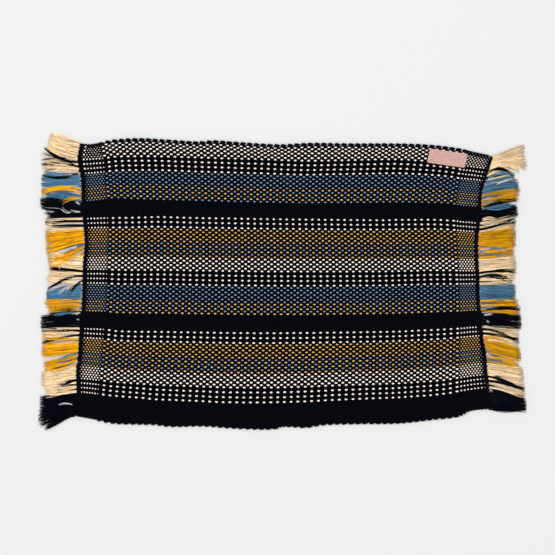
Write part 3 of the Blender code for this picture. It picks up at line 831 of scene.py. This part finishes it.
# along a thread: how it sinks from the header to the table, how it rises and falls again where it is
# lifted, and how thick it is
drop = np.clip(threadSteps / 0.42, 0, 1)
drop = drop * drop * (3 - 2 * drop)
arch = np.sin(math.pi * np.clip(threadSteps * 1.1, 0, 1)) ** 0.7
tapers = {
    "core": np.interp(threadSteps, [0, 0.7, 1], [1, 1, 0.35]),
    "thread": np.interp(threadSteps, [0, 0.2, 0.85, 1], [0.85, 1, 0.9, 0.35]),
    "stray": np.interp(threadSteps, [0, 0.1, 0.85, 1], [0.6, 1, 0.9, 0.35]),
}


def sway(phase, turns):
    # a wave along a thread, which starts at nothing
    return np.sin(phase + twoPi * turns * threadSteps) - math.sin(phase)


def swing(side, mine, root, tip, waver):
    # the way from a root to a tip, seen from above
    straight = (tip - root) / 3
    leave = mine["square"] * np.array([side * np.linalg.norm(straight), 0])
    leave = leave + (1 - mine["square"]) * straight
    t = threadSteps[:, None]
    u = 1 - t
    path = u**3 * root + 3 * u * u * t * (root + leave) + 3 * u * t * t * (tip - straight) + t**3 * tip
    way = straight / np.linalg.norm(straight)
    upward = side * np.array([-way[1], way[0]])
    return path + upward * (mine["bow"] * 4 * t * u + waver[:, None])


def headerY(side, end):
    # y of an end, which may be a fraction, where it leaves the header
    outside = -fringe["headerOut"] if side < 0 else pickCount + fringe["headerOut"]
    return float(crossing(outside, end)[1])


def fineThread(path, z, thick, taper, slot, tint):
    return Yarn(np.column_stack([path, z]), 0.5 * thick * taper, 0.42 * thick * taper, slot, tint)


def openEnd(side, end, plan):
    # One warp end opens into its plies, and they into fine threads, over a core of matted fibres
    mine = plan[end]
    beside = [plan[i] for i in (end - 1, end + 1) if 0 <= i < endCount]
    rim, buried, core, shade = fringe["rim"], fringe["buried"], fringe["core"], shades[warp[end]]
    slot = colourNames.index(warp[end])
    # painted light: this side's threads are painted brighter or darker, as the lamp stands to the left
    paintedSideLight = shade.left if side < 0 else shade.right
    above, rootY, below = [headerY(side, end + step) for step in (-0.5, 0.0, 0.5)]
    room = above - below
    fromRim = min(end, endCount - 1 - end)
    if fromRim < rim["ends"]:
        outward = 1 if end < endCount / 2 else -1
        rootY += outward * rim["out"] * (1 - fromRim / rim["ends"])
        room += rim["out"] / rim["ends"]
    if mine["lift"] < 0:
        room *= buried["room"]
    else:
        room *= 1 + buried["beside"] * sum(other["lift"] < 0 for other in beside)
    least, most = fringe["tipRoom"]
    tipRoom = min(max(np.mean([abs(other["y"] - mine["y"]) for other in beside]), least), most)
    spread = 0.5 * fringe["tipShare"] * mine["splay"] * tipRoom
    edge = float(edgeOf(side, rootY))
    lifted = mine["lift"] * arch
    layer = fringe["layer"] * (end % 3)

    def heights(rootHigh, lying):
        return rootHigh + (lying + layer + lifted - rootHigh) * drop

    root = np.array([edge - side * core["start"], rootY])
    tip = np.array([side * (mine["out"] - core["short"]), mine["y"]])
    path = swing(side, mine, root, tip, np.zeros(len(threadSteps)))
    wide = core["share"] * (room + (min(2 * spread, core["widest"]) - room) * threadSteps)
    low = 0.5 * core["high"]
    points = np.column_stack([path, np.maximum(heights(fringe["rootHigh"], low), low)])
    tint = core["tint"] + paintedSideLight  # painted shade, as the core lies in the shade of the threads
    threads = [Yarn(points, 0.5 * wide * tapers["core"], low * tapers["core"], slot, tint)]
    count = fringe["plies"] * fringe["threads"]
    order = random.permutation(count)
    for ply in range(fringe["plies"]):
        plyWaver = fringe["plyWave"] * sway(random.uniform(0, twoPi), random.uniform(0.5, 1.1))
        plyTint = random.uniform()
        plyShort = abs(random.normal(0, fringe["plyRagged"]))
        for i in range(fringe["threads"]):
            curl = fringe["curl"] if i == 0 else 1.0  # one thread of each ply has come loose
            place = ply * fringe["threads"] + i
            across = 2 * (place + random.uniform(0.1, 0.9)) / count - 1
            level = order[place] / (count - 1)
            rootX = edge - side * random.uniform(*fringe["rootsIn"])
            root = np.array([rootX, rootY + 0.5 * fringe["rootShare"] * room * across])
            short = plyShort + abs(random.normal(0, fringe["ragged"] / 2))
            tipX = side * (mine["out"] + fringe["outMore"] - short)
            tipY = mine["y"] + spread * (across + random.normal(0, fringe["tipVaries"]))
            phase, turns = random.uniform(0, twoPi), random.uniform(0.6, 1.6)
            waver = curl * fringe["wave"] * sway(phase, turns)
            path = swing(side, mine, root, np.array([tipX, tipY]), (waver + plyWaver) * threadSteps)
            rootHigh = fringe["rootHigh"] + fringe["rootVaries"] * (2 * level - 1)
            z = heights(rootHigh, fringe["lowest"] + fringe["pile"] * level)
            z = z + fringe["ripple"] * np.sin(phase * 3 + twoPi * 2 * threadSteps)
            thick = fringe["thick"] * (1 + fringe["thickVaries"] * random.uniform(-1, 1))
            # the threads' own tone, which differs at random, plus this side's painted light
            tint = 0.5 + shade.vary * (0.6 * plyTint + 0.4 * random.uniform() - 0.5) + paintedSideLight
            z = np.maximum(z, 0.5 * thick)
            threads.append(fineThread(path, z, thick, tapers["thread"], slot, tint))
    return threads


loose = {
    "apart": 0.6,  # between the threads of a stray yarn
    "startShare": 0.7,  # of that, where it starts
    "startVaries": 2.5,
    "ragged": 2.0,
    "tipVaries": 0.3,
    "square": 0.3,
    "wave": 0.4,
    "turns": 1.3,
    "highVaries": 0.25,
    "sinks": 0.5,  # from its start to its tip
}


def strayYarn(mine):
    # A loose yarn on top of the others
    side = math.copysign(1, mine.startX)
    way = {"square": loose["square"], "bow": mine.bow}
    threads = []
    for i in range(mine.threads):
        aside = loose["apart"] * (i - (mine.threads - 1) / 2)
        startX = mine.startX + side * random.uniform(0, loose["startVaries"])
        start = np.array([startX, mine.startY + loose["startShare"] * aside])
        tipX = mine.tipX - side * abs(random.normal(0, loose["ragged"]))
        tip = np.array([tipX, mine.tipY + aside + random.normal(0, loose["tipVaries"])])
        waver = loose["wave"] * sway(random.uniform(0, twoPi), loose["turns"])
        path = swing(side, way, start, tip, waver * threadSteps)
        z = mine.high + loose["highVaries"] * random.uniform(-1, 1) - loose["sinks"] * threadSteps
        slot, tint = fringeColours.index(mine.colour), random.uniform(0.2, 1.0)
        threads.append(fineThread(path, z, fringe["thick"], tapers["stray"], slot, tint))
    return threads


tuft = {"start": -0.3, "long": 3.2, "aside": 1.1, "high": 2.35, "thick": 0.8, "paleShare": 0.6}
tuftSteps = np.array([0.0, 0.3, 0.65, 1.0])
tuftTaper = np.array([0.6, 1.0, 0.9, 0.4])


def rootTuft(side, end):
    # A bit of fluff that stands out over the header where an end leaves it
    rootY = headerY(side, end + random.uniform(-0.4, 0.4))
    long = tuft["long"] * random.uniform(0.4, 1)
    x = float(edgeOf(side, rootY)) + side * (tuft["start"] + long * tuftSteps)
    y = rootY + tuft["aside"] * random.uniform(-1, 1) * tuftSteps
    z = tuft["high"] + 0.5 * np.sin(math.pi * tuftSteps) - 0.5 * tuftSteps
    pale = random.uniform() < tuft["paleShare"] and warp[end] != "navy"
    slot = fringeColours.index("pale" if pale else warp[end])
    wide, high = 0.5 * tuft["thick"] * tuftTaper, 0.4 * tuft["thick"] * tuftTaper
    return Yarn(np.column_stack([x, y, z]), wide, high, slot, random.uniform(0.3, 1.0))


for name, side in (("fringe_left_threads", -1), ("fringe_right_threads", 1)):
    plan = fringePlan(side)
    threads = [thread for end in range(endCount) for thread in openEnd(side, end, plan)]
    own = [mine for mine in fringe["strays"] if mine.startX * side > 0]
    threads += [thread for mine in own for thread in strayYarn(mine)]
    threads += [rootTuft(side, end) for end in range(endCount)]
    columns = math.ceil(math.sqrt(len(threads)))
    piece = layYarns(name, threads, 3, columns, [*fringeYarns, paleFluff])
    node = "fringe_left" if side < 0 else "fringe_right"
    settle(piece, node)


# The ground: a dark sheet of fuzz and painted shade that closes the gaps between the yarns

ground = {"low": 1.35, "high": 1.65, "across": 48, "down": 30}


def makeGround():
    picks = np.linspace(-2.0, pickCount + 2.0, ground["across"] + 1)
    ends = np.linspace(0.0, endCount - 1.0, ground["down"] + 1)
    x, y = crossing(picks[None, :], ends[:, None])
    tall, wide = x.shape
    levels = [np.full(x.shape, z) for z in (ground["high"], ground["low"])]
    layers = [np.stack([x, y, z], -1).reshape(-1, 3) for z in levels]
    under = wide * tall
    grid = np.arange(under).reshape(tall, wide)
    cells = np.stack([grid[:-1, :-1], grid[1:, :-1], grid[1:, 1:], grid[:-1, 1:]], -1)  # rows run downwards
    faces = []
    for corners in cells.reshape(-1, 4).tolist():
        faces += [corners, [under + corner for corner in reversed(corners)]]
    rim = np.concatenate([grid[0], grid[1:, -1], grid[-1, -2::-1], grid[-2:0:-1, 0]]).tolist()
    for here, there in zip(rim, rim[1:] + rim[:1]):
        faces.append([here, there, under + there, under + here])
    mesh = bpy.data.meshes.new("weave_ground")
    mesh.from_pydata((np.concatenate(layers) * mm).tolist(), [], faces)
    mesh.update()
    piece = bpy.data.objects.new("weave_ground", mesh)
    bpy.context.scene.collection.objects.link(piece)
    return piece


def fuzzAndShade():
    # Cotton fuzz deep in the weave in the weft's own navy, with no shine, and painted shade in the gaps
    # between the yarns
    material, tree, shader = newMaterial("cotton_fuzz_and_shade_navy", 1.0, gloss=0.02)
    place = addNode(tree, "ShaderNodeTexCoord").outputs["Object"]
    grain = addNode(tree, "ShaderNodeTexNoise", {"Scale": 900.0, "Detail": 2.0}, {"Vector": place})
    addRamp(tree, shader, grain.outputs["Fac"], "#030409", "#080A14")
    return material


weaveGround = settle(makeGround(), "mat_cloth")
weaveGround.data.materials.append(fuzzAndShade())
print("ground made")


# The label: a short blank tape

label = {
    "long": 44.0,
    "wide": 16.3,
    "corner": 1.6,
    "place": (191.8, 143.4),
    "turn": -0.140,
    "skew": 0.09,  # sewn on out of square: its top lies this share of its height to the right
    "low": 3.05,
    "thick": 0.55,
    "lift": 0.45,
    "cells": (56, 22),  # of its grid
    "sag": 0.22,  # it follows the floats under it this far
    "floats": (1.62, 2.4),  # how fast they follow each other along and across it
    "rimDrop": 0.6,  # its rim lies down over about this width
    "billow": {"high": 0.25, "long": 9, "wide": 7, "start": 0.6},
    "rounded": 0.16,
    "creaseAngle": 50,
    "colour": "#D6A99F",
    # the darkest, where the random mottle is low and where painted shade lies in the rib's grooves
    "mottleAndShadeColour": "#98736C",
    "threads": 0.42,  # between the tape's own picks, coarser than real so that they show
}


def deselectAll():
    for thing in bpy.context.selected_objects:
        thing.select_set(False)


def makeLabel():
    deselectAll()
    across, down = label["cells"]
    bpy.ops.mesh.primitive_grid_add(x_subdivisions=across, y_subdivisions=down, size=1)
    tape = bpy.context.object
    tape.name = tape.data.name = "label_blank_tape"
    halfLong, halfWide, corner = label["long"] / 2, label["wide"] / 2, label["corner"]
    floatX, floatY = label["floats"]
    billow = label["billow"]
    for vertex in tape.data.vertices:
        x, y = vertex.co.x * label["long"], vertex.co.y * label["wide"]
        outX, outY = abs(x) - (halfLong - corner), abs(y) - (halfWide - corner)
        if outX > 0 and outY > 0:  # the corners are rounded off
            far = math.hypot(outX, outY) / corner
            pull = max(outX, outY) / corner / far
            x = math.copysign(halfLong - corner + outX * pull, x)
            y = math.copysign(halfWide - corner + outY * pull, y)
        rim = min(halfLong - abs(x), halfWide - abs(y))
        bumps = math.sin(x * floatX) * math.sin(y * floatY) * 0.5
        z = label["sag"] * (bumps - math.exp(-rim / label["rimDrop"]))
        z += billow["high"] * math.sin(x / billow["long"] + billow["start"]) * math.cos(y / billow["wide"])
        z = z + label["low"] + label["lift"]
        vertex.co = ((x + label["skew"] * y) * mm, y * mm, z * mm)
    wall = tape.modifiers.new("wall", "SOLIDIFY")
    wall.thickness = label["thick"] * mm
    wall.offset = 1.0
    soften = tape.modifiers.new("soften", "BEVEL")
    soften.width = label["rounded"] * mm
    soften.segments = 2
    soften.angle_limit = math.radians(label["creaseAngle"])
    for modifier in ("wall", "soften"):
        bpy.ops.object.modifier_apply(modifier=modifier)
    tape.location = (label["place"][0] * mm, label["place"][1] * mm, 0)
    tape.rotation_euler.z = label["turn"]
    bpy.ops.object.transform_apply(location=True, rotation=True, scale=True)
    bpy.ops.object.shade_smooth_by_angle(angle=math.radians(label["creaseAngle"]))
    return tape


def labelTape():
    # Woven polyester tape: smooth, with a faint rib of fine picks, painted shade in the rib's grooves, and a
    # soft satin sheen
    material, tree, shader = newMaterial("woven_tape_pink", 0.6, 0.1)
    place = addNode(tree, "ShaderNodeTexCoord").outputs["Object"]
    slant = {"vector_type": "TEXTURE", "Rotation": (0, 0, label["turn"])}
    turned = addNode(tree, "ShaderNodeMapping", slant, {"Vector": place}).outputs[0]
    # a wave texture has a wave every twoPi / 20 units at scale 1
    waves = {"Scale": 1 / (label["threads"] * mm) / 20 * twoPi, "Distortion": 0.3}
    rib, cross = [
        addNode(tree, "ShaderNodeTexWave", {"bands_direction": way, **waves}, {"Vector": turned})
        for way in ("X", "Y")
    ]
    height = reckon(tree, "ADD", rib.outputs["Fac"], cross.outputs["Fac"])
    grain = {"Scale": 640.0, "Detail": 2.0, "Roughness": 0.8}
    mottle = addNode(tree, "ShaderNodeTexNoise", grain, {"Vector": place})
    # a random mottle, and painted shade in the grooves between the tape's picks, darken its colour
    mottleAndShade = reckon(tree, "MULTIPLY_ADD", height, 0.3, mottle.outputs["Fac"])
    addRamp(tree, shader, mottleAndShade, label["mottleAndShadeColour"], label["colour"], start=0.5)
    addBump(tree, shader, height, 0.5, 0.08)
    return material


labelPiece = settle(makeLabel(), "label")
labelPiece.data.materials.append(labelTape())
print("label made")


# Floor, lights and camera

studio = {
    "floorColour": "#D4D4D4",
    "worldColour": "#FFFFFF",
    "worldStrength": 0.80,
    "softbox": {"place": (-1.8, 2.0, 5.2), "size": 2.4, "power": 170.0},
    "fill": {"place": (2.2, -1.6, 3.6), "size": 2.4, "power": 30.0},
    "view": (-5.7, 4.8),  # the middle of the picture on the table
    "frameWide": 646.6,  # the picture's width there
    "cameraHigh": 1600.0,
    "sensorWide": 36.0,
}


def makeFloor():
    deselectAll()
    bpy.ops.mesh.primitive_plane_add(size=8, location=(0, 0, -0.0002))
    floor = bpy.context.object
    floor.name = "floor"
    material, _, shader = newMaterial("matte_paper_pale", 0.95)  # uncoated paper, with no shine
    shader.inputs["Base Color"].default_value = srgb(studio["floorColour"])
    floor.data.materials.append(material)


def addSoftbox(name, facts):
    lamp = bpy.data.lights.new(name, "AREA")
    lamp.energy = facts["power"]
    lamp.size = facts["size"]
    thing = bpy.data.objects.new(name, lamp)
    thing.location = facts["place"]
    away = -thing.location
    thing.rotation_euler = away.to_track_quat("-Z", "Y").to_euler()
    bpy.context.scene.collection.objects.link(thing)


def makeCamera():
    lens = bpy.data.cameras.new("camera")
    lens.sensor_width = studio["sensorWide"]
    lens.lens = studio["sensorWide"] * studio["cameraHigh"] / studio["frameWide"]
    camera = bpy.data.objects.new("camera", lens)
    camera.location = (studio["view"][0] * mm, studio["view"][1] * mm, studio["cameraHigh"] * mm)
    bpy.context.scene.collection.objects.link(camera)
    bpy.context.scene.camera = camera


makeFloor()
for name in ("softbox", "fill"):
    addSoftbox(name, studio[name])
world = bpy.data.worlds.new("studio")
world.use_nodes = True
backdrop = world.node_tree.nodes["Background"]
backdrop.inputs["Color"].default_value = srgb(studio["worldColour"])
backdrop.inputs["Strength"].default_value = studio["worldStrength"]
bpy.context.scene.world = world
bpy.context.scene.view_settings.view_transform = "Standard"
makeCamera()
print("studio made")
